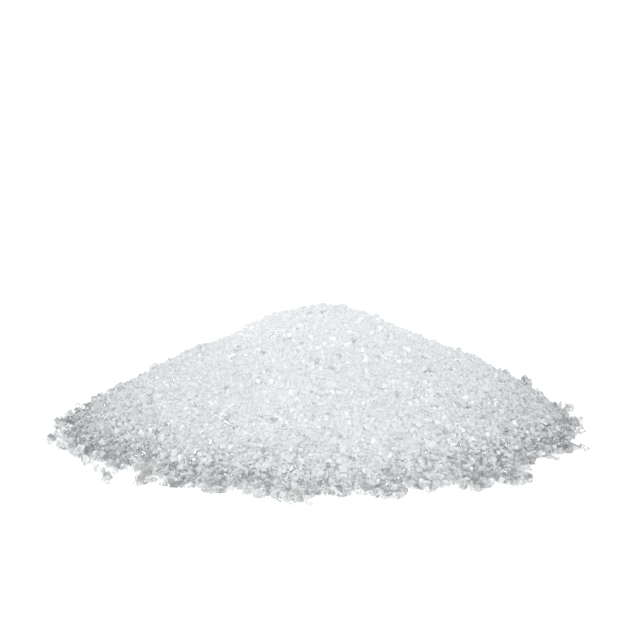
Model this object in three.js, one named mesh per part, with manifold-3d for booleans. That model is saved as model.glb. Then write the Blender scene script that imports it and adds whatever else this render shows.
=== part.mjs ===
// A loose heap of white granulated sweetener, lying on a table.
// Millimetres, +Z up. The origin is the middle of the heap's foot, on the table.
// The heap is one solid: a cone with a rounded tip and a slack, uneven foot, which runs out in a ragged skirt
// one crystal thick. Its skin has bumps of about a crystal's size all over, with larger crystals fused on.
import * as THREE from 'three';
import { ConvexGeometry } from 'three/addons/geometries/ConvexGeometry.js';
import { mergeVertices } from 'three/addons/utils/BufferGeometryUtils.js';
import Module from 'manifold-3d';

// The heap's form
const FOOT_HALF_WIDTH = 29.3; // the foot is an ellipse, drawn out and in by the fans and bays below
const FOOT_HALF_DEPTH = 28.8;
const FOOT_MIDDLE = new THREE.Vector2(-0.26, 0.01); // puts the middle of the whole heap's box on the origin
const SUMMIT_HEIGHT = 15.1;
const SUMMIT_AT = new THREE.Vector2(0.54, -0.69); // the summit's axis
const TIP_ROUNDING = 0.11; // how blunt the tip is, as a share of the way to the foot
const FLANK_POWER = 0.88; // below 1 the flank bulges a little above a straight cone
const CRYSTAL = 0.62; // the middle size of a crystal
const EDGE_HEIGHT = 0.7 * CRYSTAL; // the heap meets its skirt at about one crystal's height

// Fans of the foot, where crystals slid further out, and bays, whose reach is below zero.
// The direction and the spread are in degrees.
const FANS = [
  { direction: 10, reach: 1, spread: 12 },
  { direction: 60, reach: -0.8, spread: 14 },
  { direction: 100, reach: 0.9, spread: 20 },
  { direction: 142, reach: 0.8, spread: 12 },
  { direction: 165, reach: 0.9, spread: 8 },
  { direction: 201, reach: 0.7, spread: 9 },
  { direction: 221, reach: -1.6, spread: 12 },
  { direction: 311, reach: 1.5, spread: 8 },
  { direction: 330, reach: -0.9, spread: 9 },
  { direction: 344, reach: 0.3, spread: 8 },
];

// Shallow swells left by small slides: plane waves, each shorter than the last and turned by the golden angle
const GOLDEN_ANGLE = Math.PI * (3 - Math.sqrt(5));
const SWELLS = 4;
const LONGEST_SWELL = 23;
const SWELL_SHRINK = 0.7; // the length of each, as a share of the last
const SWELL_HEIGHT = 0.016; // the height of each, as a share of its length
const SWELL_DIRECTION = 60; // of the longest, in degrees

// Ledges where a slide came to rest, and a hollow, whose height is below zero.
// Places are measured from the summit's axis.
const LEDGES = [
  { x: -16.5, y: 10, radius: 4.5, height: 0.4 },
  { x: 8, y: 5, radius: 3.5, height: -0.4 },
  { x: 18.5, y: 7, radius: 4, height: 1.3 },
  { x: 25, y: 8.5, radius: 3, height: 1.6 },
];

// The skirt of single crystals round the foot: its widest reach, and the waves of its ragged edge
const SKIRT_REACH = { side: 0.5, front: 3.6 };
const SKIRT_SHARE = 0.4; // mean reach, as a share of the widest
const SKIRT_WAVES = [
  { waves: 7, depth: 0.14, crest: 31 },
  { waves: 13, depth: 0.16, crest: 9 },
  { waves: 22, depth: 0.18, crest: 4 },
  { waves: 37, depth: 0.16, crest: 2 },
];
const SKIRT_HEIGHT = 0.6 * CRYSTAL;
const SKIRT_SPLAY = 0.12; // how far the skirt's underside stands out past its top

// The skin's mesh and its bumps
const RINGS = 29; // rings from the summit to the foot, each with six more points than the last
const POINTS_PER_RING = 6;
const BUMP_HEIGHT = 0.5 * CRYSTAL; // the most that a bump stands above or below the smooth heap
const SHUFFLE = 0.28; // how far a skin point strays from its place, as a share of the ring spacing

// Crystals fused to the skin, and the fringe round the foot
const SKIN_CRYSTALS = 72;
const FRINGE_CLUMPS = 30;
const CLUMP_MOST = 4; // crystals in the longest clump
const LARGE_CRYSTAL = { least: 1.25 * CRYSTAL, most: 1.75 * CRYSTAL };
const SUNK_SHARE = 0.3; // share of a skin crystal's size that lies below the skin
const FRINGE_SPACING = 0.8 * CRYSTAL; // close enough that the crystals of a clump bite into one another
const SEED = 7411;

const SWEETENER_COLOUR = 0xe3e9ec;

// A seeded source of even random numbers from 0 to 1 (mulberry32).
function seededRandom(seed) {
  let state = seed;
  return () => {
    state = (state + 0x6d2b79f5) | 0;
    let mixed = Math.imul(state ^ (state >>> 15), 1 | state);
    mixed = (mixed + Math.imul(mixed ^ (mixed >>> 7), 61 | mixed)) ^ mixed;
    return ((mixed ^ (mixed >>> 14)) >>> 0) / 4294967296;
  };
}

const random = seededRandom(SEED);
const between = (least, most) => least + (most - least) * random();
const stray = (most) => between(-most, most);

// The sum of waves that run round the heap, in a direction given in radians.
function wavesRound(list, direction) {
  return list.reduce(
    (sum, { waves, depth, crest }) =>
      sum + depth * Math.cos(waves * (direction - THREE.MathUtils.degToRad(crest))),
    0,
  );
}

// Distance from the summit's axis to the foot: the ellipse's radius, less how far the axis lies off the
// ellipse's middle that way, plus a bell for each fan.
function footRadius(direction) {
  const along = new THREE.Vector2(Math.cos(direction), Math.sin(direction));
  const stretched = Math.hypot(FOOT_HALF_DEPTH * along.x, FOOT_HALF_WIDTH * along.y);
  const ellipse = (FOOT_HALF_WIDTH * FOOT_HALF_DEPTH) / stretched;
  const offMiddle = SUMMIT_AT.clone().sub(FOOT_MIDDLE).dot(along);
  return FANS.reduce((radius, fan) => {
    const away = Math.cos(direction - THREE.MathUtils.degToRad(fan.direction)) - 1;
    return radius + fan.reach * Math.exp(away / THREE.MathUtils.degToRad(fan.spread) ** 2);
  }, ellipse - offMiddle);
}

// How far the skirt reaches past the foot: least at the sides, most to the front and the back.
function skirtReach(direction) {
  const widest = THREE.MathUtils.lerp(SKIRT_REACH.side, SKIRT_REACH.front, Math.sin(direction) ** 2);
  return widest * THREE.MathUtils.clamp(SKIRT_SHARE + wavesRound(SKIRT_WAVES, direction), 0.08, 1);
}

// Height of the swells and ledges at a place measured from the summit's axis: waves and bells.
function swellHeight(x, y) {
  const waves = Array.from({ length: SWELLS }, (_, k) => {
    const length = LONGEST_SWELL * SWELL_SHRINK ** k;
    const turn = THREE.MathUtils.degToRad(SWELL_DIRECTION) + k * GOLDEN_ANGLE;
    const along = x * Math.cos(turn) + y * Math.sin(turn);
    return SWELL_HEIGHT * length * Math.sin((2 * Math.PI * along) / length);
  });
  const bells = LEDGES.map((ledge) => {
    const away = Math.hypot(x - ledge.x, y - ledge.y) / ledge.radius;
    return ledge.height * Math.exp(-away * away);
  });
  return [...waves, ...bells].reduce((sum, height) => sum + height, 0);
}

// Height of the smooth heap at a share of the way from the summit (0) to the foot (1), in a direction.
// The flank is a hyperbola, so the tip is blunt and the lower flank straight. Swells fade out at the foot.
function heapHeight(share, direction) {
  const radius = share * footRadius(direction);
  const blunt = (value) => Math.sqrt(value * value + TIP_ROUNDING * TIP_ROUNDING);
  const flank = Math.pow(Math.max(0, (blunt(1) - blunt(share)) / (blunt(1) - blunt(0))), FLANK_POWER);
  const swell = swellHeight(radius * Math.cos(direction), radius * Math.sin(direction));
  const fade = Math.min(1, 4 * flank);
  return EDGE_HEIGHT + (SUMMIT_HEIGHT - EDGE_HEIGHT) * flank + swell * fade;
}

// A point of the heap's surface, raised by a given height, from the foot's middle.
function surfacePoint(share, direction, raise) {
  const radius = share * footRadius(direction);
  return new THREE.Vector3(
    SUMMIT_AT.x + radius * Math.cos(direction),
    SUMMIT_AT.y + radius * Math.sin(direction),
    heapHeight(share, direction) + raise,
  );
}

// The skin: a centre point and rings of 6, 12, 18 ... points, each moved a little off its place, up or down.
function skinRings() {
  const rings = [[surfacePoint(0, 0, stray(BUMP_HEIGHT))]];
  for (let ring = 1; ring <= RINGS; ring += 1) {
    const count = POINTS_PER_RING * ring;
    const most = ring === RINGS ? 0.3 * EDGE_HEIGHT : BUMP_HEIGHT;
    rings.push(
      Array.from({ length: count }, (_, i) => {
        const direction = (2 * Math.PI * (i + stray(SHUFFLE))) / count;
        return surfacePoint((ring + stray(SHUFFLE)) / RINGS, direction, stray(most));
      }),
    );
  }
  return rings;
}

// The skirt's top edge, with a point outside each point of the foot.
function skirtRing() {
  const count = POINTS_PER_RING * RINGS;
  return Array.from({ length: count }, (_, i) => {
    const direction = (2 * Math.PI * (i + stray(SHUFFLE))) / count;
    const radius = footRadius(direction) * (1 + SHUFFLE / RINGS) + skirtReach(direction);
    return new THREE.Vector3(
      SUMMIT_AT.x + radius * Math.cos(direction),
      SUMMIT_AT.y + radius * Math.sin(direction),
      SKIRT_HEIGHT * between(0.8, 1.2),
    );
  });
}

// Triangles between two neighbouring rings, walking both round together.
function ringTriangles(inner, outer) {
  const triangles = [];
  let i = 0;
  let o = 0;
  while (i < inner.length || o < outer.length) {
    const innerAt = inner[i % inner.length];
    const outerAt = outer[o % outer.length];
    const outerNext = (o + 1) / outer.length <= (i + 1) / inner.length;
    if (o < outer.length && (outerNext || i >= inner.length || inner.length === 1)) {
      triangles.push([innerAt, outerAt, outer[(o + 1) % outer.length]]);
      o += 1;
    } else {
      triangles.push([innerAt, outerAt, inner[(i + 1) % inner.length]]);
      i += 1;
    }
    if (inner.length === 1 && o === outer.length) break;
  }
  return triangles;
}

// The heap without its fused crystals: the skin, the skirt's side and the flat underside.
function heapBody() {
  const edge = skirtRing();
  const rings = [...skinRings(), edge];
  const foot = edge.map((point) => {
    const outward = new THREE.Vector2(point.x, point.y).setLength(SKIRT_SPLAY);
    return new THREE.Vector3(point.x + outward.x, point.y + outward.y, 0);
  });
  const middle = [new THREE.Vector3(SUMMIT_AT.x, SUMMIT_AT.y, 0)];
  const underside = ringTriangles(middle, foot).map(([a, b, c]) => [a, c, b]);
  const triangles = [
    ...rings.slice(1).flatMap((ring, i) => ringTriangles(rings[i], ring)),
    ...ringTriangles(edge, foot),
    ...underside,
  ];
  return new THREE.BufferGeometry().setFromPoints(triangles.flat());
}

// One crystal: a blunt block with eight unequal corners, turned any way about its own middle.
function crystal(size) {
  const half = new THREE.Vector3(size, size * between(0.7, 1), size * between(0.6, 0.85)).multiplyScalar(0.5);
  const corners = [];
  for (const x of [-1, 1]) {
    for (const y of [-1, 1]) {
      for (const z of [-1, 1]) {
        const blunt = () => between(0.62, 1);
        corners.push(new THREE.Vector3(x * blunt(), y * blunt(), z * blunt()).multiply(half));
      }
    }
  }
  const turn = new THREE.Quaternion(stray(1), stray(1), stray(1), stray(1)).normalize();
  return new ConvexGeometry(corners).applyQuaternion(turn);
}

// Moves a crystal's middle to a point, and lifts it where it would reach below the table.
function place(geometry, point) {
  geometry.translate(point.x, point.y, point.z);
  geometry.computeBoundingBox();
  geometry.translate(0, 0, Math.max(0, -geometry.boundingBox.min.z));
  return geometry;
}

// Crystals spread evenly over the skin on a sunflower spiral, each sunk by a share of its size.
function skinCrystals() {
  return Array.from({ length: SKIN_CRYSTALS }, (_, i) => {
    const size = between(LARGE_CRYSTAL.least, LARGE_CRYSTAL.most);
    const share = 0.97 * Math.sqrt((i + 0.5) / SKIN_CRYSTALS);
    const point = surfacePoint(share, i * GOLDEN_ANGLE + stray(0.05), (0.5 - SUNK_SHARE) * size);
    return place(crystal(size), point);
  });
}

// Short rows of crystals that reach out from the skirt onto the table.
function fringeCrystals() {
  return Array.from({ length: FRINGE_CLUMPS }, (_, i) => {
    const direction = i * GOLDEN_ANGLE;
    const count = 1 + (i % CLUMP_MOST);
    const edge = surfacePoint(1 + skirtReach(direction) / footRadius(direction), direction, 0);
    const away = direction + stray(0.6);
    return Array.from({ length: count }, (_, k) => {
      const size = between(LARGE_CRYSTAL.least, LARGE_CRYSTAL.most);
      const reach = k * FRINGE_SPACING;
      const point = new THREE.Vector3(Math.cos(away), Math.sin(away), 0).multiplyScalar(reach).add(edge);
      point.z = 0.3 * size;
      return place(crystal(size), point);
    });
  }).flat();
}

const wasm = await Module();
wasm.setup();

// A closed geometry as a solid that can be joined.
function solidOf(geometry) {
  geometry.deleteAttribute('normal');
  geometry.deleteAttribute('uv');
  const merged = mergeVertices(geometry, 1e-4);
  const mesh = new wasm.Mesh({
    numProp: 3,
    vertProperties: new Float32Array(merged.attributes.position.array),
    triVerts: new Uint32Array(merged.index.array),
  });
  return new wasm.Manifold(mesh);
}

// A joined solid as a geometry.
function geometryOf(solid) {
  const { vertProperties, triVerts } = solid.getMesh();
  const geometry = new THREE.BufferGeometry();
  geometry.setAttribute('position', new THREE.BufferAttribute(new Float32Array(vertProperties), 3));
  geometry.setIndex(new THREE.BufferAttribute(new Uint32Array(triVerts), 1));
  geometry.computeVertexNormals();
  return geometry;
}

// The heap with its crystals fused on; a crystal that missed the heap is dropped.
function fusedHeap() {
  const pieces = [...skinCrystals(), ...fringeCrystals()];
  const joined = pieces.reduce((heap, piece) => heap.add(solidOf(piece)), solidOf(heapBody()));
  return joined.decompose().reduce((largest, body) => (body.volume() > largest.volume() ? body : largest));
}

function sweetenerHeap() {
  const material = new THREE.MeshStandardMaterial({
    color: SWEETENER_COLOUR,
    roughness: 0.45,
    metalness: 0,
    flatShading: true,
  });
  const mesh = new THREE.Mesh(geometryOf(fusedHeap()), material);
  mesh.name = 'heap';
  return mesh;
}

const object = new THREE.Group();
object.add(sweetenerHeap());

export default object;
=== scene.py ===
"""A loose heap of white granulated sweetener on a table.

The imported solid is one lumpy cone. Here a smaller core carries about 29,000 crystals at their true size,
poured on in layers until they reach the solid's own surface, with rings, rows and single crystals round the
foot. Lengths are worked out in millimetres and put into the meshes in metres.
"""
import math

import bpy
import numpy as np
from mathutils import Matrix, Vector


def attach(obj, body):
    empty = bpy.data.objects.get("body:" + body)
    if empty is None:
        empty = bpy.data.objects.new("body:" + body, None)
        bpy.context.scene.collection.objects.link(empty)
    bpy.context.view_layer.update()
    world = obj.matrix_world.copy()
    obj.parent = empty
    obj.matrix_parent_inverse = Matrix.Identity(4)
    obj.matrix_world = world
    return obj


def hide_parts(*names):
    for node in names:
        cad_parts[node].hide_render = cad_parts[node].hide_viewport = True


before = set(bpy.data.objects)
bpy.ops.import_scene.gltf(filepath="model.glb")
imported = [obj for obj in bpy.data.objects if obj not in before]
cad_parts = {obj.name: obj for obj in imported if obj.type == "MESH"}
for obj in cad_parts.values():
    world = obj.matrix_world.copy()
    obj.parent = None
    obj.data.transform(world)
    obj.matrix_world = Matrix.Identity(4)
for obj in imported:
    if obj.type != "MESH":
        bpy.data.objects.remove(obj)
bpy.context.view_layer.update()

MM = 0.001
SEED = 7411
random = np.random.default_rng(SEED)

# The heap's form, as the solid has it
FOOT_HALF_WIDTH = 29.3  # the foot is an ellipse, drawn out and in by the fans below
FOOT_HALF_DEPTH = 28.8
FOOT_MIDDLE = (-0.26, 0.01)  # puts the middle of the whole heap's box on the origin
SUMMIT_HEIGHT = 15.1
SUMMIT_AT = (0.54, -0.69)  # the summit's axis
TIP_ROUNDING = 0.11  # how blunt the tip is, as a share of the way to the foot
FLANK_POWER = 0.88  # below 1 the flank bulges a little above a straight cone
CRYSTAL = 0.62  # the middle size of a crystal
EDGE_HEIGHT = 0.7 * CRYSTAL  # the heap's height at its foot
FOOT_FADE = 4  # how fast the swells come in above the foot

# Fans of the foot, and bays, whose reach is below zero: direction in degrees, reach, spread in degrees
FANS = (
    (10, 1.0, 12), (60, -0.8, 14), (100, 0.9, 20), (142, 0.8, 12), (165, 0.9, 8),
    (201, 0.7, 9), (221, -1.6, 12), (311, 1.5, 8), (330, -0.9, 9), (344, 0.3, 8),
)

# The skirt: waves in one turn, depth, and the direction of the first crest in degrees
SKIRT_WAVES = ((7, 0.14, 31), (13, 0.16, 9), (22, 0.18, 4), (37, 0.16, 2))
SKIRT_SHARE = 0.4  # mean reach of the skirt, as a share of its widest
SKIRT_LEAST = 0.08  # least reach, as a share of its widest
SKIRT_SIDE, SKIRT_FRONT = 0.5, 3.6  # the skirt's widest reach past the foot

# Swells: plane waves, each shorter than the last and turned by the golden angle
GOLDEN_ANGLE = math.pi * (3 - math.sqrt(5))
SWELLS, LONGEST_SWELL, SWELL_SHRINK = 4, 23, 0.7
SWELL_HEIGHT = 0.016  # the height of each, as a share of its length
SWELL_DIRECTION = 60  # of the longest, in degrees

# Ledges, and a hollow, whose height is below zero: x and y from the summit's axis, radius, height
LEDGES = ((-16.5, 10, 4.5, 0.4), (8, 5, 3.5, -0.4), (18.5, 7, 4, 1.3), (25, 8.5, 3, 1.6))

# Rings of crystals on the table, as the photograph shows them: x, y, half width, half depth, crystals
RINGS = (
    (-31.2, 1.6, 0.8, 1.5, 8), (-31.0, -3.2, 0.8, 1.6, 8), (-30.3, -7.8, 0.8, 1.8, 9),
    (-28.3, -11.7, 1.0, 1.9, 10), (-26.4, -16.6, 1.0, 1.8, 9),
    (-22.0, -18.9, 0.9, 1.8, 9), (-24.4, -20.6, 1.0, 2.0, 9), (-11.2, -28.2, 0.6, 1.6, 8),
    (18.5, -26.6, 0.7, 1.6, 8), (20.6, -24.5, 0.7, 1.5, 8), (30.3, 1.6, 0.8, 2.0, 8),
)
RING_STRAY = 0.1  # how far a ring's crystals stray each way
# Rows of crystals: x and y of the first, heading in degrees, crystals
ROWS = (
    (29.2, 10.2, 12, 4), (28.8, -8.2, -48, 8), (-31.8, -6.2, -95, 4), (-24.5, -22.4, -87, 9),
    (-20.4, -21.6, -90, 12), (-21.2, -26.6, 0, 3), (-17.6, -23.4, -94, 9), (-16.4, -27.4, 5, 3),
    (-6.8, -30.0, -90, 6), (-3.7, -36.4, -90, 1), (-1.3, -35.2, -88, 2), (2.0, -29.5, -90, 5),
    (21.5, -25.6, -88, 4), (17.8, -28.2, -93, 5), (23.4, -24.6, -84, 3),
    (24.8, 22.2, 42, 3), (20.2, 27.4, 60, 3), (-11.5, 31.0, 105, 3), (-25.5, 17.5, 140, 2),
)
ROW_PITCH, ROW_STRAY = 0.5, 0.14  # distance between a row's crystals, and how far they stray each way
# Tufts of crystals that stand on the slope: x, y, height, crystals
TUFTS = (
    (16.9, 7.8, 0.5, 9), (20.4, 10.5, 0.6, 10), (25.0, 8.2, 0.7, 12), (26.8, 9.2, 0.5, 9),
    (-20.6, 9.5, 0.4, 6), (-14.8, 8.6, 0.3, 5), (22.6, 9.6, 0.4, 8),
)
TUFT_SPREAD = 0.5  # how far a tuft's crystals stray sideways, before it narrows
TUFT_LIFT = 0.15  # height of a tuft's lowest crystal over the slope
# Patches where the skirt spreads: x, y, half width, half depth
PATCHES = (
    (-3.4, -31.4, 2.2, 3.3), (-6.6, -30.4, 0.9, 2.0), (2.3, -30.0, 1.0, 2.6), (7.6, -30.4, 1.9, 3.2),
    (12.0, -28.0, 1.2, 2.0), (22.0, -24.8, 1.9, 2.3), (17.0, -27.2, 1.6, 2.2), (-14.5, -26.8, 3.4, 1.4),
    (-12.2, -28.8, 1.2, 2.0), (28.4, -9.6, 1.4, 2.4),
)

# Crystals that wander off the skirt
CLUMPS, LONGEST_CLUMP = 300, 8
CLUMP_SIDE, CLUMP_FRONT = 0.15, 0.85  # share of the reach at the sides, and how much more to front and back
CLUMP_OUT, CLUMP_FARTHEST = 0.8, 3.5  # mean and most distance of a clump past the skirt
CLUMP_BACK = 0.5  # how far inside the skirt's edge the nearest clumps start
CLUMP_TURN = 0.9  # how far the walk turns at each crystal, in radians
CLUMP_END = 0.33  # chance that a walk ends at a crystal
TOUCHING = 0.85  # distance between crystals that touch, as a share of their size
OFF_FOOT = 0.2  # least distance of such a crystal from the foot

# Sizes of crystals: spread of their logarithm, and the least and most, as shares of the middle one
SIZE_SPREAD, SIZE_LEAST, SIZE_MOST = 0.24, 0.55, 1.6

# Pouring
CELL = 0.12  # width of a cell of the height map
MAP_HALF = 40.0  # the map runs this far from the middle each way
MAP_MARGIN = 4  # places left empty at the map's edge
LAYER_DEPTH = 0.7  # the loose crystals go down this far under the heap's surface
SKIRT_TALL = 0.75 * CRYSTAL  # how high the crystals may pile at the foot and on the skirt
SKIRT_LAYERS = 2  # layers that reach past the foot
SKIRT_FULL = 0.75  # share of places filled at the foot
SKIRT_THIN = 0.3  # how much smaller that share is at the skirt's edge
PATCH_FULL = 0.6  # share of places filled in a patch
# As shares of a crystal's size: how far past the foot it may lie, how far out it feels for what it rests on,
# how high its top lies over that, how high it is counted against the surface, and how much lower its edge is
OVERHANG, FEELER, TOP, COUNTED_TOP, EDGE_FALL = 0.3, 0.34, 0.72, 0.7, 0.3

# The core
CORE_SINK, FOOT_SINK = 0.12, 1.2  # how far the core lies under the surface, and how much more at the foot
SINK_DEPTH = 1.5  # the height that the foot's sink fades over
CORE_REACH = 0.95  # the core's reach, as a share of the way to the foot
CORE_LEAST = 0.12  # least height of the core's skin
CORE_BUMPS = 0.09  # how far its points stray up and down
CORE_WHITER = 0.15  # how much whiter the core is than the crystals on it

# How white the crystals look: painted shade makes them darker where the heap is thin at the foot, painted light
# whiter where it is high, and painted shade darker at both ends
THICK = 2.6  # the height over which the painted shade of the thin foot fades, and the spread of single crystals narrows
THIN_WHITE, THICK_WHITE, SUMMIT_PAINTED_LIGHT = 0.81, 0.885, 0.1  # mean at the foot, darker by painted shade; mean high up; and painted light added at the summit
THIN_SPREAD, THICK_SPREAD = 0.2, 0.02  # how far single crystals stray from the mean, at the foot and high up
INNER_SPREAD, END_SPREAD = 0.8, 0.7  # the spread's factor between the ends, and how much more at both ends
PATCH_TONE = 0.1  # how much thin places differ
END_PAINTED_SHADE = 0.36  # painted shade: how much darker both ends are
CLEAR_SHARE = 0.012  # share of crystals that are much clearer than those round them
CLEAR_DROP = 0.45  # how much clearer those are
WHITEST = 1.2  # the most that a crystal's whiteness comes to
CLEAR_FOOT, CLEAR_DEPTH = 0.75, 2.4  # share of clear crystals at the foot, and the height that they fade over

# Light
WORLD_COLOUR = (0.96, 0.985, 1, 1)
WORLD_FRONT, WORLD_BACK = 0.78, 0.82  # strength from the camera's side and below, and from behind and above
TABLE_WHITE = (0.92, 0.92, 0.92, 1)
TABLE_GLOW = 0.45  # the table's own light
LIT_POINT = (0, 0, 0.006)  # where the lights are turned to
KEY_AT, KEY_SIZE, KEY_WATTS = (-0.07, 0.02, 0.2), 0.2, 0.06
SPARKLE_SIZE, SPARKLE_WATTS = 0.06, 0.34
SPARKLE_LIGHTS = {
    "left": (-0.2, -0.12, 0.12),
    "right": (0.2, -0.1, 0.14),
    "high": (0.03, -0.05, 0.3),
    "front": (-0.14, -0.26, 0.2),
}

# The camera, from the photograph
CAMERA_DISTANCE = 0.45
CAMERA_ELEVATION = 13.5
FOCAL_PIXELS = 3750.0
FRAME_PIXELS = 640
SENSOR_MM = 36.0
AIM = (-0.00015, 0.0, 0.0135)


def waves_round(waves, direction):
    """The sum of cosine waves round the heap: depth times cos(count times the angle past the crest)."""
    return sum(depth * np.cos(count * (direction - math.radians(crest))) for count, depth, crest in waves)


def foot_radius(direction):
    """Distance from the summit's axis to the foot: the ellipse's radius, less how far the axis lies off its
    middle that way, plus a bell for each fan, reach times exp((cos(angle past the fan) - 1) / spread^2)."""
    east, north = np.cos(direction), np.sin(direction)
    radius = FOOT_HALF_WIDTH * FOOT_HALF_DEPTH / np.hypot(FOOT_HALF_DEPTH * east, FOOT_HALF_WIDTH * north)
    radius = radius - (SUMMIT_AT[0] - FOOT_MIDDLE[0]) * east - (SUMMIT_AT[1] - FOOT_MIDDLE[1]) * north
    for middle, reach, spread in FANS:
        away = np.cos(direction - math.radians(middle)) - 1
        radius = radius + reach * np.exp(away / math.radians(spread) ** 2)
    return radius


def skirt_reach(direction):
    """How far the skirt reaches past the foot: least at the sides, most to the front and back, times a share
    that waves between the least and 1."""
    widest = SKIRT_SIDE + (SKIRT_FRONT - SKIRT_SIDE) * np.sin(direction) ** 2
    return widest * np.clip(SKIRT_SHARE + waves_round(SKIRT_WAVES, direction), SKIRT_LEAST, 1)


def swell_height(x, y):
    """Height of the swells and ledges at a place measured from the summit's axis: plane sine waves, and bells
    of height times exp(-(distance / radius)^2)."""
    total = 0
    for k in range(SWELLS):
        length = LONGEST_SWELL * SWELL_SHRINK**k
        turn = math.radians(SWELL_DIRECTION) + k * GOLDEN_ANGLE
        along = x * math.cos(turn) + y * math.sin(turn)
        total = total + SWELL_HEIGHT * length * np.sin(2 * math.pi * along / length)
    for at_x, at_y, radius, height in LEDGES:
        total = total + height * np.exp(-((x - at_x) ** 2 + (y - at_y) ** 2) / radius**2)
    return total


def heap_height(x, y):
    """Height of the heap over the table. With s the share of the way from the axis to the foot, the flank is
    ((b(1) - b(s)) / (b(1) - b(0))) to the flank power, where b(s) = sqrt(s^2 + rounding^2). Swells fade at
    the foot."""
    dx, dy = x - SUMMIT_AT[0], y - SUMMIT_AT[1]
    share = np.hypot(dx, dy) / foot_radius(np.arctan2(dy, dx))
    blunt = np.sqrt(share**2 + TIP_ROUNDING**2)
    edge = math.sqrt(1 + TIP_ROUNDING**2)
    flank = np.clip((edge - blunt) / (edge - TIP_ROUNDING), 0, None) ** FLANK_POWER
    height = EDGE_HEIGHT + (SUMMIT_HEIGHT - EDGE_HEIGHT) * flank
    return np.where(share <= 1, height + swell_height(dx, dy) * np.minimum(1, FOOT_FADE * flank), 0)


def past_foot(x, y):
    """(distance past the foot, the skirt's reach there), in millimetres; the first is negative inside."""
    dx, dy = x - SUMMIT_AT[0], y - SUMMIT_AT[1]
    direction = np.arctan2(dy, dx)
    return np.hypot(dx, dy) - foot_radius(direction), skirt_reach(direction)


# Meshes


def mesh_object(name, points, faces, tone, places):
    """A mesh object from points in millimetres and a list of face arrays, each of one number of corners. tone
    is a number for each point, and places are each corner's places on the piece's own UV map."""
    mesh = bpy.data.meshes.new(name)
    corners = np.concatenate([f.ravel() for f in faces])
    counts = np.concatenate([np.full(len(f), f.shape[1]) for f in faces])
    mesh.vertices.add(len(points))
    mesh.vertices.foreach_set("co", (points * MM).astype(np.float32).ravel())
    mesh.loops.add(len(corners))
    mesh.loops.foreach_set("vertex_index", corners.astype(np.int32))
    mesh.polygons.add(len(counts))
    mesh.polygons.foreach_set("loop_start", (np.cumsum(counts) - counts).astype(np.int32))
    mesh.attributes.new("tone", "FLOAT", "POINT").data.foreach_set("value", tone.astype(np.float32))
    mesh.uv_layers.new(name="OFBake").uv.foreach_set("vector", places.astype(np.float32).ravel())
    mesh.update(calc_edges=True)
    mesh.validate()
    mesh.shade_flat()
    obj = bpy.data.objects.new(name, mesh)
    bpy.context.scene.collection.objects.link(obj)
    return obj


def corner_angles(corners):
    """The directions of a regular profile's corners, with a side facing along x."""
    return 2 * np.pi * (np.arange(corners) + 0.5) / corners


def carried_profile(corners, stations):
    """A crystal's unit form: a regular profile of so many corners carried along z through stations of
    (height, scale), closed at both ends. Returns (points, side faces, end faces)."""
    angle = corner_angles(corners)
    ring = np.stack([np.cos(angle), np.sin(angle)], 1) / math.cos(math.pi / corners) * 0.5
    points = np.concatenate([
        np.column_stack([ring * scale, np.full(corners, z)]) for z, scale in stations
    ])
    step = np.arange(corners)
    nxt = (step + 1) % corners
    sides = np.concatenate([
        np.stack([level * corners + step, level * corners + nxt,
                  (level + 1) * corners + nxt, (level + 1) * corners + step], 1)
        for level in range(len(stations) - 1)
    ])
    ends = np.stack([step[::-1], (len(stations) - 1) * corners + step])
    return points, sides, ends


def crystal_map(corners, stations, count):
    """Places on a square map with a cell for each crystal. In a cell the sides lie as a band along the
    bottom, one row for each level, and the two ends lie side by side above it."""
    band_wide, band_tall, margin = 0.96, 0.54, 0.02
    end_wide, end_tall = 0.22, 0.18
    first_end, last_end = (0.25, 0.8), (0.75, 0.8)
    levels = len(stations) - 1
    k, level = np.meshgrid(np.arange(corners), np.arange(levels))
    k, level = k.ravel(), level.ravel()
    band = np.stack([np.stack([k, level], 1), np.stack([k + 1, level], 1),
                     np.stack([k + 1, level + 1], 1), np.stack([k, level + 1], 1)], 1)
    band = band * (band_wide / corners, band_tall / levels) + (margin, margin)
    angle = corner_angles(corners)
    ring = np.stack([end_wide * np.cos(angle), end_tall * np.sin(angle)], 1)
    caps = np.stack([ring[::-1] + first_end, ring + last_end])
    across = math.ceil(math.sqrt(count))
    cell = np.stack([np.arange(count) % across, np.arange(count) // across], 1)[:, None, None]
    places = [((part[None] + cell) / across).reshape(-1, 2) for part in (band, caps)]
    return np.concatenate(places)


def random_turns(count, tilt):
    """Rotation matrices: a spin about z, then a lean of up to tilt radians towards an even direction."""
    spin = random.uniform(0, 2 * np.pi, count)
    lean = tilt * np.sqrt(random.uniform(0, 1, count))
    way = random.uniform(0, 2 * np.pi, count)
    cross = np.zeros((count, 3, 3))
    cross[:, 0, 2] = np.sin(way)
    cross[:, 2, 0] = -np.sin(way)
    cross[:, 1, 2] = -np.cos(way)
    cross[:, 2, 1] = np.cos(way)
    leaned = np.eye(3) + np.sin(lean)[:, None, None] * cross
    leaned += (1 - np.cos(lean))[:, None, None] * (cross @ cross)
    spun = np.zeros((count, 3, 3))
    spun[:, 0, 0] = np.cos(spin)
    spun[:, 1, 1] = np.cos(spin)
    spun[:, 1, 0] = np.sin(spin)
    spun[:, 0, 1] = -np.sin(spin)
    spun[:, 2, 2] = 1
    return leaned @ spun


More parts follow.
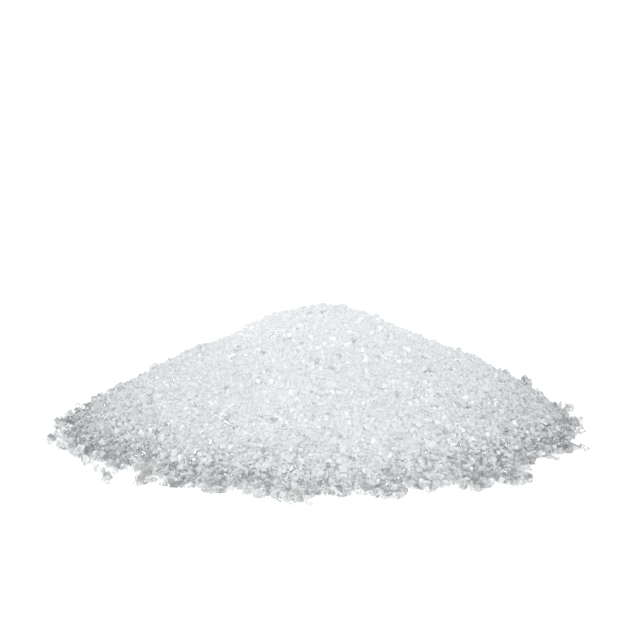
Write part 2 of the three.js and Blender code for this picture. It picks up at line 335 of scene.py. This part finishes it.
def slope_turns(x, y):
    """Rotation matrices that lay z along the heap's normal, from its height's slope in x and y."""
    step, steepest = 0.3, 0.8
    rise_x = (heap_height(x + step, y) - heap_height(x - step, y)) / (2 * step)
    rise_y = (heap_height(x, y + step) - heap_height(x, y - step)) / (2 * step)
    rise_x = np.clip(rise_x, -steepest, steepest)
    rise_y = np.clip(rise_y, -steepest, steepest)
    normal = np.stack([-rise_x, -rise_y, np.ones_like(rise_x)], 1)
    normal /= np.linalg.norm(normal, axis=1, keepdims=True)
    east = np.stack([normal[:, 2], np.zeros_like(rise_x), -normal[:, 0]], 1)
    east /= np.linalg.norm(east, axis=1, keepdims=True)
    return np.stack([east, np.cross(normal, east), normal], 2)


# The kinds of crystal: profile corners, stations, proportions (x, y, z), how far corners stray, tilt in
# radians, and the share of the middle-sized white crystals that are of this kind
BEVELLED = ((-0.5, 0.72), (-0.38, 1.0), (0.38, 1.0), (0.5, 0.72))
KINDS = {
    "crystals_block": dict(
        corners=4, stations=BEVELLED,
        form=(1.0, 0.86, 0.8), stray=0.07, tilt=1.5, share=0.21,
    ),
    "crystals_prism": dict(
        corners=6, stations=((-0.5, 0.9), (0.5, 1.0)),
        form=(0.72, 0.66, 1.15), stray=0.08, tilt=1.57, share=0.26,
    ),
    "crystals_tablet": dict(
        corners=6, stations=((-0.5, 0.8), (0.5, 0.8)),
        form=(1.1, 0.95, 0.42), stray=0.09, tilt=0.8, share=0.1,
    ),
    "crystals_cube": dict(
        corners=4, stations=((-0.5, 0.93), (0.5, 1.0)),
        form=(0.86, 0.78, 0.84), stray=0.1, tilt=1.57, share=0.43,
    ),
    "crystals_fine": dict(
        corners=4, stations=((-0.5, 0.85), (0.5, 1.0)),
        form=(1.0, 0.8, 0.8), stray=0.12, tilt=1.57, share=0,
    ),
    "crystals_clear": dict(
        corners=5, stations=((-0.5, 0.8), (0.5, 1.0)),
        form=(0.9, 0.8, 0.9), stray=0.09, tilt=1.57, share=0,
    ),
}
FORM_RANGE = (0.82, 1.18)  # each crystal's own proportions, against its kind's
END_SLANT = 0.12  # how far the ends of crystals slant


# Pouring the crystals


class HeightMap:
    """The height of what has fallen so far, on a square grid of cells."""

    def __init__(self):
        axis = np.arange(-MAP_HALF, MAP_HALF, CELL) + CELL / 2
        gx, gy = np.meshgrid(axis, axis, indexing="ij")
        self.count = len(axis)
        self.height = np.clip(heap_height(gx, gy) - LAYER_DEPTH, 0, None)

    def cell(self, values):
        """The number of the cell that each x or y lies in."""
        return np.clip(((values + MAP_HALF) / CELL).astype(int), 0, self.count - 1)

    def under(self, x, y, size):
        """What a crystal rests on, from its middle and eight points round it: half the mean and half the
        third highest."""
        found = [self.height[self.cell(x), self.cell(y)]]
        for angle in np.arange(8) * np.pi / 4:
            at_x = self.cell(x + FEELER * size * np.cos(angle))
            at_y = self.cell(y + FEELER * size * np.sin(angle))
            found.append(self.height[at_x, at_y])
        found = np.array(found)
        return 0.5 * found.mean(0) + 0.5 * np.partition(found, -3, axis=0)[-3]

    def add(self, x, y, top, size):
        """Raises the cells under each crystal to a dome: its top less the square of the distance from its
        middle."""
        reach = int(0.5 * size.max() / CELL) + 1
        at_x, at_y = self.cell(x), self.cell(y)
        for i in range(-reach, reach + 1):
            for j in range(-reach, reach + 1):
                away = math.hypot(i, j) * CELL / (0.5 * size)
                inside = away < 1
                ix = np.clip(at_x[inside] + i, 0, self.count - 1)
                iy = np.clip(at_y[inside] + j, 0, self.count - 1)
                dome = top[inside] - EDGE_FALL * size[inside] * away[inside] ** 2
                np.maximum.at(self.height, (ix, iy), dome)


def crystal_sizes(count, middle=CRYSTAL):
    """Sizes round the middle one, spread by a bell curve of their logarithm and cut at both ends."""
    return middle * np.clip(np.exp(random.normal(0, SIZE_SPREAD, count)), SIZE_LEAST, SIZE_MOST)


def in_patch(x, y):
    """Whether a place lies in one of the patches, each an ellipse."""
    px, py, wide, deep = np.array(PATCHES).T[:, :, None]
    return (((x - px) / wide) ** 2 + ((y - py) / deep) ** 2 < 1).any(0)


def pour(ground, pitch, layers, middle, low, high):
    """Layers of crystals. A layer is a grid of places, each strayed by up to half a pitch and taken in four
    turns of every other place, so that those that fall together don't touch. A crystal stays if its top ends
    below the heap's surface plus a part of its size that is drawn between low and high. Returns places, sizes
    and heights."""
    places, sizes, heights = [], [], []
    across = int(MAP_HALF / pitch) - MAP_MARGIN
    steps = np.arange(-across, across + 1)
    for layer in range(layers):
        for odd_x, odd_y in ((0, 0), (1, 1), (0, 1), (1, 0)):
            gx, gy = np.meshgrid(steps[odd_x::2], steps[odd_y::2], indexing="ij")
            x = (gx.ravel() + random.uniform(-0.5, 0.5, gx.size)) * pitch
            y = (gy.ravel() + random.uniform(-0.5, 0.5, gx.size)) * pitch
            size = crystal_sizes(len(x), middle)
            past, reach = past_foot(x, y)
            draw = random.uniform(0, 1, len(x))
            on_heap = past < OVERHANG * size
            on_skirt = (past < reach) & (draw < SKIRT_FULL - SKIRT_THIN * past / reach)
            on_patch = in_patch(x, y) & (draw < PATCH_FULL)
            keep = on_heap | ((on_skirt | on_patch) & (layer < SKIRT_LAYERS))
            x, y, size = x[keep], y[keep], size[keep]
            base = ground.under(x, y, size)
            surface = np.maximum(heap_height(x, y), SKIRT_TALL)
            keep = base + COUNTED_TOP * size < surface + random.uniform(low, high, len(x)) * size
            x, y, size, base = x[keep], y[keep], size[keep], base[keep]
            ground.add(x, y, base + TOP * size, size)
            places.append(np.stack([x, y], 1))
            sizes.append(size)
            heights.append(base + 0.5 * TOP * size)
    return np.concatenate(places), np.concatenate(sizes), np.concatenate(heights)


def strays():
    """Crystals that lie apart on the table. Little walks of touching crystals start at the skirt's edge or a
    way past it, shorter and closer at the sides than to the front and back. The named rings and rows join
    them. Returns places, sizes and heights, which stay at zero because each lies on its lowest corner."""
    direction = random.uniform(0, 2 * np.pi, CLUMPS)
    wide = CLUMP_SIDE + CLUMP_FRONT * np.sin(direction) ** 2
    out = np.minimum(random.exponential(CLUMP_OUT, CLUMPS), CLUMP_FARTHEST) * wide
    start = foot_radius(direction) + skirt_reach(direction) - CLUMP_BACK + out
    heading = direction[:, None] + np.cumsum(random.normal(0, CLUMP_TURN, (CLUMPS, LONGEST_CLUMP)), 1)
    size = crystal_sizes(CLUMPS * LONGEST_CLUMP).reshape(CLUMPS, LONGEST_CLUMP)
    walk_x = np.cumsum(TOUCHING * size * np.cos(heading), 1)
    walk_y = np.cumsum(TOUCHING * size * np.sin(heading), 1)
    x = SUMMIT_AT[0] + (start * np.cos(direction))[:, None] + walk_x
    y = SUMMIT_AT[1] + (start * np.sin(direction))[:, None] + walk_y
    length = np.minimum(random.geometric(CLUMP_END, CLUMPS), 1 + (LONGEST_CLUMP - 1) * wide)
    keep = (np.arange(LONGEST_CLUMP)[None] < length[:, None]) & (past_foot(x, y)[0] > OFF_FOOT)
    places = [np.stack([x[keep], y[keep]], 1)]
    for x, y, wide, deep, count in RINGS:
        turn = 2 * np.pi * np.arange(count) / count
        ring = np.stack([x + wide * np.cos(turn), y + deep * np.sin(turn)], 1)
        places.append(ring + random.uniform(-RING_STRAY, RING_STRAY, ring.shape))
    for x, y, heading, count in ROWS:
        toward = (math.cos(math.radians(heading)), math.sin(math.radians(heading)))
        along = ROW_PITCH * np.arange(count)[:, None] * toward
        places.append(along + (x, y) + random.uniform(-ROW_STRAY, ROW_STRAY, along.shape))
    places = np.concatenate(places)
    sizes = np.concatenate([size[keep], crystal_sizes(len(places) - keep.sum())])
    return places, sizes, np.zeros(len(sizes))


def tufts():
    """Crystals piled a little above the slope: places strayed by a bell curve that narrows towards the top.
    Returns places, sizes and heights."""
    places, heights = [], []
    for x, y, tall, count in TUFTS:
        up = np.linspace(0, 1, count)
        spread = random.normal(0, TUFT_SPREAD, (count, 2)) * (1.2 - up)[:, None] + (x, y)
        places.append(spread)
        heights.append(heap_height(spread[:, 0], spread[:, 1]) + TUFT_LIFT + tall * up)
    places = np.concatenate(places)
    return places, crystal_sizes(len(places), 0.8 * CRYSTAL), np.concatenate(heights)


def toward_end(x):
    """How near a place is to the left or right end of the heap: the cube of x over the foot's half width."""
    return np.clip(np.abs(x) / FOOT_HALF_WIDTH, 0, 1) ** 3


def mean_whiteness_with_painted_shade(x, y):
    """How white the heap looks, from 0 for clear to 1 and over for white. Painted shade and light stand in for
    light that comes back from a thick heap and goes on through a thin one: the whiteness rises with the heap's
    height, by
    1 - exp(-height / THICK), and painted light makes it a little whiter to the summit by a cubic. Thin places
    differ in patches, by plane sine waves, and painted shade makes both ends darker."""
    height = heap_height(x, y)
    share = 1 - np.exp(-height / THICK)
    patch = np.sin(1.1 * x + 0.7 * y + 1.2) * np.sin(0.9 * y - 0.8 * x) + np.sin(1.9 * x - 0.6 * y)
    thin = THIN_WHITE + PATCH_TONE * patch
    thick = THICK_WHITE + SUMMIT_PAINTED_LIGHT * (height / SUMMIT_HEIGHT) ** 3
    return thin + (thick - thin) * share - END_PAINTED_SHADE * toward_end(x)


def whiteness(x, y):
    """Each crystal's whiteness: the mean there, with its painted shade and light, strayed by a bell curve that
    narrows with height and widens to both ends, and about one crystal in eighty clear."""
    spread = THICK_SPREAD + (THIN_SPREAD - THICK_SPREAD) * np.exp(-heap_height(x, y) / THICK)
    spread = spread * (INNER_SPREAD + END_SPREAD * toward_end(x))
    clear = random.uniform(0, 1, x.shape) < CLEAR_SHARE
    own = mean_whiteness_with_painted_shade(x, y) + random.normal(0, 1, x.shape) * spread - CLEAR_DROP * clear
    return np.clip(own, 0, WHITEST)


def crystal_mesh(name, places, sizes, heights, on_table):
    """One joined mesh of crystals of a kind: each the unit form, with its corners strayed, stretched, turned
    any way and then to the slope, and moved to its place. Those on the table lie with their lowest corner at
    zero."""
    kind = KINDS[name]
    points, sides, ends = carried_profile(kind["corners"], kind["stations"])
    count, corners = len(sizes), len(points)
    forms = np.array(kind["form"]) * random.uniform(*FORM_RANGE, (count, 3))
    stray = random.normal(0, kind["stray"], (count, corners, 3))
    # The corners of one end lean together, so the ends slant as in a crystal that grew against another.
    slant = random.normal(0, END_SLANT, (count, 2))
    bodies = (points[None] + stray) * forms[:, None]
    bodies[:, :, 2] += bodies[:, :, 0] * slant[:, :1] + bodies[:, :, 1] * slant[:, 1:]
    bodies *= sizes[:, None, None]
    turns = slope_turns(places[:, 0], places[:, 1]) @ random_turns(count, kind["tilt"])
    bodies = np.einsum("nij,nkj->nki", turns, bodies)
    lowest = bodies[:, :, 2].min(1)
    centre = np.where(on_table, -lowest, heights)
    centre = np.maximum(centre, -lowest)
    bodies += np.column_stack([places, centre])[:, None]
    start = (np.arange(count) * corners)[:, None, None]
    faces = [(sides[None] + start).reshape(-1, 4), (ends[None] + start).reshape(-1, ends.shape[1])]
    tone = np.repeat(whiteness(places[:, 0], places[:, 1]), corners)
    on_map = crystal_map(kind["corners"], kind["stations"], count)
    return mesh_object(name, bodies.reshape(-1, 3), faces, tone, on_map)


# Materials


def new_group(name, inputs, outputs):
    """An empty shader node group with named float or colour inputs and outputs. An input is a number or a
    colour."""
    group = bpy.data.node_groups.new(name, "ShaderNodeTree")
    for key, value in inputs.items():
        kind = "NodeSocketColor" if isinstance(value, tuple) else "NodeSocketFloat"
        group.interface.new_socket(key, in_out="INPUT", socket_type=kind).default_value = value
    for key, kind in outputs.items():
        group.interface.new_socket(key, in_out="OUTPUT", socket_type=kind)
    return group, group.nodes.new("NodeGroupInput"), group.nodes.new("NodeGroupOutput")


def math_node(nodes, links, operation, a, b):
    """A Math node on two sockets or numbers; returns its output."""
    node = nodes.new("ShaderNodeMath")
    node.operation = operation
    for socket, value in zip(node.inputs, (a, b)):
        if isinstance(value, (int, float)):
            socket.default_value = value
        else:
            links.new(value, socket)
    return node.outputs[0]


def crystal_group():
    """Cloudy crystal: each crystal's tone, which carries painted shade and light, cloud inside it, painted
    glints and dark flecks that stand in for light off faces within it, which are small cells of a value each,
    stronger where the crystal is clear, and fine growth marks on its outside."""
    group, entry, leave = new_group(
        "cloudy crystal",
        {
            "Tone": 0.5,
            "Clear Colour": (0.42, 0.434, 0.443, 1),
            "White Colour": (0.98, 0.986, 0.99, 1),
            "Cloud Size": 4000.0,
            "Cloud Amount": 0.16,
            "Painted Glint Size": 5500.0,
            "Painted Glint Amount": 0.36,
            "Smooth": 0.08,
            "Frosted": 0.3,
        },
        {"Color": "NodeSocketColor", "Roughness": "NodeSocketFloat", "Height": "NodeSocketFloat"},
    )
    nodes, links = group.nodes, group.links
    place = nodes.new("ShaderNodeTexCoord").outputs["Object"]
    cloud = nodes.new("ShaderNodeTexNoise")
    cloud.inputs["Detail"].default_value = 3
    links.new(place, cloud.inputs["Vector"])
    links.new(entry.outputs["Cloud Size"], cloud.inputs["Scale"])
    drift = math_node(nodes, links, "SUBTRACT", cloud.outputs["Fac"], 0.5)
    drift = math_node(nodes, links, "MULTIPLY", drift, entry.outputs["Cloud Amount"])
    share = math_node(nodes, links, "ADD", entry.outputs["Tone"], drift)
    # Painted glints: a random value for each small cell, lighter or darker, stands in for light off faces
    # within the crystal, stronger where it is clear.
    painted_glint_cells = nodes.new("ShaderNodeTexVoronoi")
    links.new(place, painted_glint_cells.inputs["Vector"])
    links.new(entry.outputs["Painted Glint Size"], painted_glint_cells.inputs["Scale"])
    value = nodes.new("ShaderNodeSeparateColor")
    links.new(painted_glint_cells.outputs["Color"], value.inputs["Color"])
    glint = math_node(nodes, links, "SUBTRACT", value.outputs["Red"], 0.5)
    clearness = math_node(nodes, links, "SUBTRACT", WHITEST, entry.outputs["Tone"])
    glint = math_node(nodes, links, "MULTIPLY", glint, clearness)
    glint = math_node(nodes, links, "MULTIPLY", glint, entry.outputs["Painted Glint Amount"])
    share = math_node(nodes, links, "ADD", share, glint)
    mix = nodes.new("ShaderNodeMix")
    mix.data_type = "RGBA"
    mix.clamp_factor = True
    links.new(share, mix.inputs["Factor"])
    links.new(entry.outputs["Clear Colour"], mix.inputs["A"])
    links.new(entry.outputs["White Colour"], mix.inputs["B"])
    links.new(mix.outputs["Result"], leave.inputs["Color"])
    rough = nodes.new("ShaderNodeMapRange")
    links.new(share, rough.inputs["Value"])
    links.new(entry.outputs["Smooth"], rough.inputs["To Min"])
    links.new(entry.outputs["Frosted"], rough.inputs["To Max"])
    links.new(rough.outputs["Result"], leave.inputs["Roughness"])
    marks = nodes.new("ShaderNodeTexWave")
    marks.inputs["Scale"].default_value = 3200
    marks.inputs["Distortion"].default_value = 3
    marks.inputs["Detail"].default_value = 2
    links.new(place, marks.inputs["Vector"])
    links.new(marks.outputs["Fac"], leave.inputs["Height"])
    return group


def crystal_material(name, group, transmission, values):
    """Crystal finish: the group's colour, roughness and growth marks on a glossy surface that lets this share
    of the light through. values are put on the group's inputs."""
    material = bpy.data.materials.new(name)
    material.use_nodes = True
    nodes, links = material.node_tree.nodes, material.node_tree.links
    shader = nodes["Principled BSDF"]
    cloudy = nodes.new("ShaderNodeGroup")
    cloudy.node_tree = group
    for key, value in values.items():
        cloudy.inputs[key].default_value = value
    tone = nodes.new("ShaderNodeAttribute")
    tone.attribute_name = "tone"
    links.new(tone.outputs["Fac"], cloudy.inputs["Tone"])
    links.new(cloudy.outputs["Color"], shader.inputs["Base Color"])
    links.new(cloudy.outputs["Roughness"], shader.inputs["Roughness"])
    relief = nodes.new("ShaderNodeBump")
    relief.inputs["Strength"].default_value = 0.3
    relief.inputs["Distance"].default_value = 0.00002
    links.new(cloudy.outputs["Height"], relief.inputs["Height"])
    links.new(relief.outputs["Normal"], shader.inputs["Normal"])
    shader.inputs["IOR"].default_value = 1.5
    shader.inputs["Transmission Weight"].default_value = transmission
    return material


# The core


def core_object():
    """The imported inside: rings of points a little under the heap's surface, deeper at the foot, with bumps of
    a crystal's size, closed by a flat underside."""
    rings, around = 110, 330
    angle = np.arange(around) * 2 * np.pi / around
    share = np.linspace(0, 1, rings + 1)[1:, None]
    radius = foot_radius(angle)[None] * share * CORE_REACH
    x = SUMMIT_AT[0] + radius * np.cos(angle)[None]
    y = SUMMIT_AT[1] + radius * np.sin(angle)[None]
    surface = heap_height(x, y)
    depth = CORE_SINK + FOOT_SINK * np.exp(-surface / SINK_DEPTH)
    z = np.clip(surface - depth, CORE_LEAST, None) + random.uniform(-CORE_BUMPS, CORE_BUMPS, x.shape)
    top_z = heap_height(np.array(SUMMIT_AT[0]), np.array(SUMMIT_AT[1])) - CORE_SINK
    skin = np.stack([x.ravel(), y.ravel(), z.ravel()], 1)
    rim = skin[-around:] * (1, 1, 0)
    points = np.concatenate([[(*SUMMIT_AT, float(top_z))], skin, rim, [(*SUMMIT_AT, 0)]])
    step = np.arange(around)
    nxt = (step + 1) % around
    tip = np.stack([np.zeros(around, int), 1 + step, 1 + nxt], 1)
    bands = np.concatenate([
        np.stack([1 + k * around + step, 1 + (k + 1) * around + step,
                  1 + (k + 1) * around + nxt, 1 + k * around + nxt], 1)
        for k in range(rings)
    ])
    last = 1 + rings * around
    below = np.stack([np.full(around, len(points) - 1), last + nxt, last + step], 1)
    # The core's tone carries the same painted shade at the foot and ends, and painted light at the summit.
    tone = CORE_WHITER + mean_whiteness_with_painted_shade(points[:, 0], points[:, 1])
    # On the map the top is a disc seen from above, the rim a thin band round it, and the underside a small
    # disc in a corner.
    disc_radius, rim_radius = 0.47, 1.03
    small_at, small_radius = 0.09, 0.08
    turn = np.stack([np.cos(angle), np.sin(angle)], 1)
    out = np.append(share, rim_radius)[:, None, None]
    disc = np.concatenate([[(0.5, 0.5)], (0.5 + disc_radius * out * turn).reshape(-1, 2)])
    small = np.stack([0 * turn, turn[nxt], turn], 1).reshape(-1, 2)
    places = np.concatenate([disc[tip.ravel()], disc[bands.ravel()], small_at + small_radius * small])
    return mesh_object("heap_core", points, [tip, bands, below], tone, places)


# Stage


def table():
    """A white table, matt, that glows a little so that it stays as white as the photograph's."""
    bpy.ops.mesh.primitive_circle_add(vertices=96, radius=4, fill_type="NGON")
    floor = bpy.context.object
    floor.name = "table"
    material = bpy.data.materials.new("white table")
    material.use_nodes = True
    shader = material.node_tree.nodes["Principled BSDF"]
    shader.inputs["Base Color"].default_value = TABLE_WHITE
    shader.inputs["Roughness"].default_value = 0.9
    shader.inputs["Specular IOR Level"].default_value = 0
    shader.inputs["Emission Color"].default_value = (1, 1, 1, 1)
    shader.inputs["Emission Strength"].default_value = TABLE_GLOW
    floor.data.materials.append(material)


def light():
    """Even white light from all round that is a little dimmer from the camera's side and below, a weak soft
    key light, and small lights that the crystals' faces only mirror, for their sparkle."""
    world = bpy.data.worlds.new("studio")
    bpy.context.scene.world = world
    world.use_nodes = True
    nodes, links = world.node_tree.nodes, world.node_tree.links
    split = nodes.new("ShaderNodeSeparateXYZ")
    links.new(nodes.new("ShaderNodeTexCoord").outputs["Generated"], split.inputs[0])
    spread = nodes.new("ShaderNodeMapRange")
    spread.interpolation_type = "SMOOTHSTEP"
    spread.inputs["From Min"].default_value = -0.9
    spread.inputs["From Max"].default_value = 0.5
    spread.inputs["To Min"].default_value = WORLD_FRONT
    spread.inputs["To Max"].default_value = WORLD_BACK
    toward = math_node(nodes, links, "MULTIPLY", split.outputs["Z"], 0.9)
    toward = math_node(nodes, links, "ADD", split.outputs["Y"], toward)
    links.new(toward, spread.inputs["Value"])
    links.new(spread.outputs["Result"], nodes["Background"].inputs["Strength"])
    nodes["Background"].inputs["Color"].default_value = WORLD_COLOUR

    area_light("key", KEY_AT, KEY_SIZE, KEY_WATTS)
    for name, place in SPARKLE_LIGHTS.items():
        area_light(name, place, SPARKLE_SIZE, SPARKLE_WATTS).visible_diffuse = False


def area_light(name, place, size, power):
    """A square light at a place, turned to the heap."""
    data = bpy.data.lights.new(name, "AREA")
    data.size = size
    data.energy = power
    obj = bpy.data.objects.new(name, data)
    obj.location = place
    obj.rotation_euler = (Vector(LIT_POINT) - Vector(place)).to_track_quat("-Z", "Y").to_euler()
    bpy.context.scene.collection.objects.link(obj)
    return obj


def camera():
    """The photograph's view: low over the table, from the front, with a long lens."""
    elevation = math.radians(CAMERA_ELEVATION)
    data = bpy.data.cameras.new("camera")
    data.sensor_width = SENSOR_MM
    data.lens = FOCAL_PIXELS * SENSOR_MM / FRAME_PIXELS
    data.clip_start = 0.01
    data.clip_end = 20
    obj = bpy.data.objects.new("camera", data)
    obj.location = (0, -CAMERA_DISTANCE * math.cos(elevation), CAMERA_DISTANCE * math.sin(elevation))
    obj.rotation_euler = (Vector(AIM) - obj.location).to_track_quat("-Z", "Y").to_euler()
    bpy.context.scene.collection.objects.link(obj)
    bpy.context.scene.camera = obj


camera()
table()
light()
bpy.context.scene.view_settings.view_transform = "Standard"
# Light passes from crystal to crystal many times in a white heap.
cycles = bpy.context.scene.cycles
cycles.max_bounces = 128
cycles.diffuse_bounces = 64
cycles.glossy_bounces = 32
cycles.transmission_bounces = 64

cloudy = crystal_group()
finish = crystal_material("crystal", cloudy, 0, {})
core_finish = crystal_material("packed crystal", cloudy, 0, {"Cloud Amount": 0.3})
clear_finish = crystal_material("clear crystal", cloudy, 0.8, {
    "Clear Colour": (0.84, 0.847, 0.85, 1),
    "White Colour": (0.985, 0.988, 0.99, 1),
    "Cloud Amount": 0.4,
    "Painted Glint Amount": 0.5,
    "Smooth": 0.05,
    "Frosted": 0.12,
})

core = core_object()
core.data.materials.append(core_finish)
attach(core, "root")
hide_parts("heap")

ground = HeightMap()
main = pour(ground, pitch=0.44, layers=4, middle=0.92 * CRYSTAL, low=-0.15, high=0.45)
filler = pour(ground, pitch=0.34, layers=3, middle=0.75 * CRYSTAL, low=-0.3, high=0.4)
fines = pour(ground, pitch=0.27, layers=2, middle=0.5 * CRYSTAL, low=-0.6, high=0.5)
standing = tufts()
loose = strays()
lots = (main, filler, standing, loose, fines)
loose_lot, fine_lot = 3, 4
places, sizes, heights = (np.concatenate(parts) for parts in zip(*lots))
lot_of = np.repeat(np.arange(len(lots)), [len(lot[1]) for lot in lots])
on_table = lot_of == loose_lot
fine = lot_of == fine_lot

# Which kind each one is. Nearer the foot more of them are clear, and most of those that lie apart are.
names = list(KINDS)
shares = [kind["share"] for kind in KINDS.values()]
kind_of = np.full(len(sizes), names.index("crystals_fine"))
kind_of[~fine] = random.choice(len(names), (~fine).sum(), p=shares)
clear_chance = CLEAR_FOOT * np.exp(-heap_height(places[:, 0], places[:, 1]) / CLEAR_DEPTH)
clear = ~fine & (random.uniform(0, 1, len(sizes)) < clear_chance)
kind_of[clear] = names.index("crystals_clear")
for number, name in enumerate(names):
    mine = kind_of == number
    piece = crystal_mesh(name, places[mine], sizes[mine], heights[mine], on_table[mine])
    piece.data.materials.append(clear_finish if name == "crystals_clear" else finish)
    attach(piece, "root")
